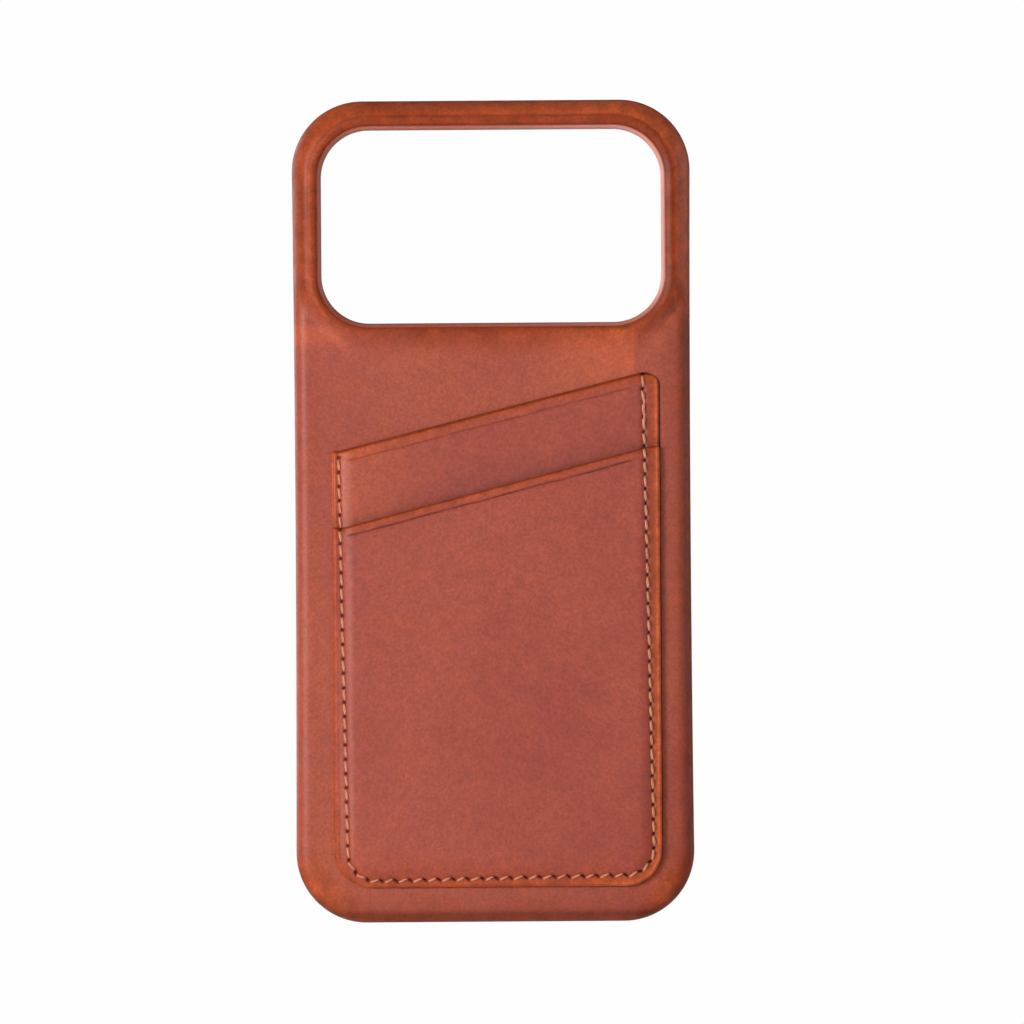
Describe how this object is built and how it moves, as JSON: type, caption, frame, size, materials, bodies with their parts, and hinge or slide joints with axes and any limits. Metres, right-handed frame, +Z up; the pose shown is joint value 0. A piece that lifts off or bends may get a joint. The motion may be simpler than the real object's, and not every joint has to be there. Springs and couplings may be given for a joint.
{
  "type": "phone wallet case",
  "caption": "Leather phone case with a raised camera rim, flush side keys and two staggered card slots on its back.",
  "frame": {"origin": "middle of the lining face that the phone's back rests on", "axes": "+Z up towards the camera end; -Y is the outer back with the card pockets; +Y the screen side; +X to the right as seen from the pocket side"},
  "size_m": [0.0814, 0.0153, 0.168],
  "materials": {
    "leather": "smooth vegetable-tanned leather, pulled up to orange brown at its moulded edges",
    "pocket_leather": "smooth vegetable-tanned leather with burnished edges",
    "shell": "satin polycarbonate, dyed brown",
    "lining": "short microfibre nap",
    "pocket_lining": "thin woven lining",
    "thread": "bonded twisted thread with a low shine",
    "key_metal": "satin anodised",
    "key_rubber": "matte"
  },
  "bodies": {
    "case": {"hard_shell": "shell", "leather_cover": "leather", "back_lining": "lining", "rear_pocket_lining": "pocket_lining", "rear_pocket_panel": "pocket_leather", "front_pocket_lining": "pocket_lining", "front_pocket_panel": "pocket_leather", "rear_slot_floor": "pocket_lining", "needle_thread": "thread", "bobbin_thread": "thread"},
    "action": {"action_key": "key_metal", "action_key_pad": "key_rubber"},
    "volume_up": {"volume_up_key": "key_metal", "volume_up_key_pad": "key_rubber"},
    "volume_down": {"volume_down_key": "key_metal", "volume_down_key_pad": "key_rubber"},
    "side": {"side_key": "key_metal", "side_key_pad": "key_rubber"}
  },
  "joints": [
    {"name": "action_press", "type": "slide", "parent": "case", "child": "action", "axis": [-1, 0, 0], "range_m": [0, 0.0003], "stiffness_N_per_m": 1500},
    {"name": "volume_up_press", "type": "slide", "parent": "case", "child": "volume_up", "axis": [-1, 0, 0], "range_m": [0, 0.0003], "stiffness_N_per_m": 1500},
    {"name": "volume_down_press", "type": "slide", "parent": "case", "child": "volume_down", "axis": [-1, 0, 0], "range_m": [0, 0.0003], "stiffness_N_per_m": 1500},
    {"name": "side_press", "type": "slide", "parent": "case", "child": "side", "axis": [1, 0, 0], "range_m": [0, 0.0003], "stiffness_N_per_m": 1500}
  ]
}
